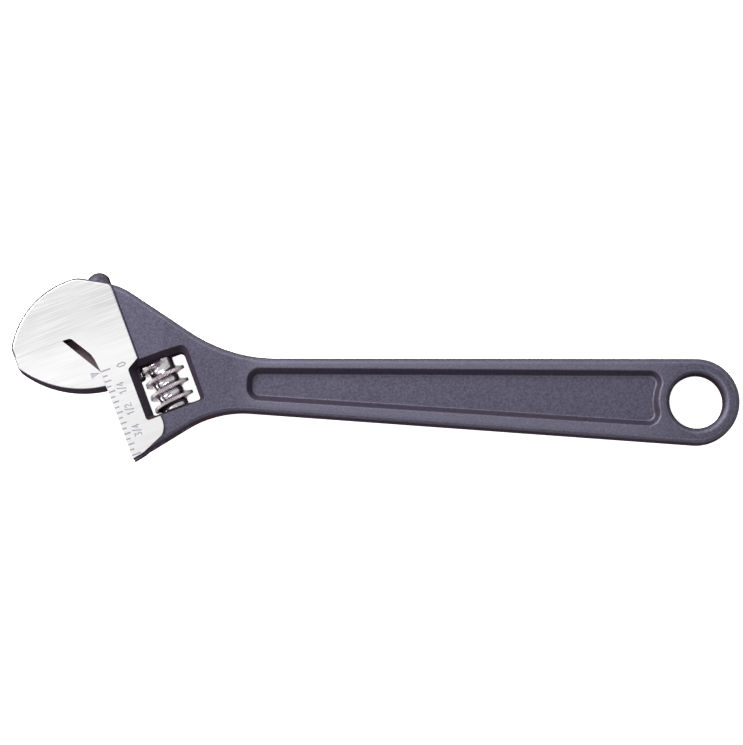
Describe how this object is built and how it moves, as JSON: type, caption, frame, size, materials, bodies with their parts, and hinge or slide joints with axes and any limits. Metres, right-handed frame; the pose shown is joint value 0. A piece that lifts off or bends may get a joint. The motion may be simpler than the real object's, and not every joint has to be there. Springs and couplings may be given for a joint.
{
  "type": "adjustable wrench",
  "caption": "Open-ended adjustable wrench with a fixed jaw, a sliding jaw moved by a knurled worm, a panelled handle and a hanging hole.",
  "frame": {"origin": "centre of the hanging hole, on the mid-plane halfway through the wrench's thickness", "axes": "+X along the handle away from the head, +Y toward the fixed jaw's side, +Z through the thickness, out of the face with the scale"},
  "size_m": [0.2072, 0.0535, 0.0126],
  "materials": {
    "forged_steel": "dark phosphate coating on the forging, ground bright on the flats of both jaws",
    "worm_steel": "bright turned and knurled",
    "pin_steel": "turned",
    "spring_steel": "drawn wire"
  },
  "bodies": {
    "wrench_body": {"fixed_jaw_body": "forged_steel", "worm_pin": "pin_steel", "worm_spring": "spring_steel"},
    "sliding_jaw": {"movable_jaw": "forged_steel"},
    "worm": {"adjusting_worm": "worm_steel"}
  },
  "joints": [
    {"name": "jaw_slide", "type": "slide", "parent": "wrench_body", "child": "sliding_jaw", "axis": [0.3827, -0.9239, 0], "range_m": [0, 0.0254]},
    {"name": "worm_spin", "type": "hinge", "parent": "wrench_body", "child": "worm", "pos_m": [-0.15038, -0.00046, 0], "axis": [-0.3827, 0.9239, 0], "range_deg": [-1, 2440]}
  ],
  "couplings": [
    {"joint": "worm_spin", "follows": "jaw_slide", "rad_per_m": 1675.5}
  ]
}
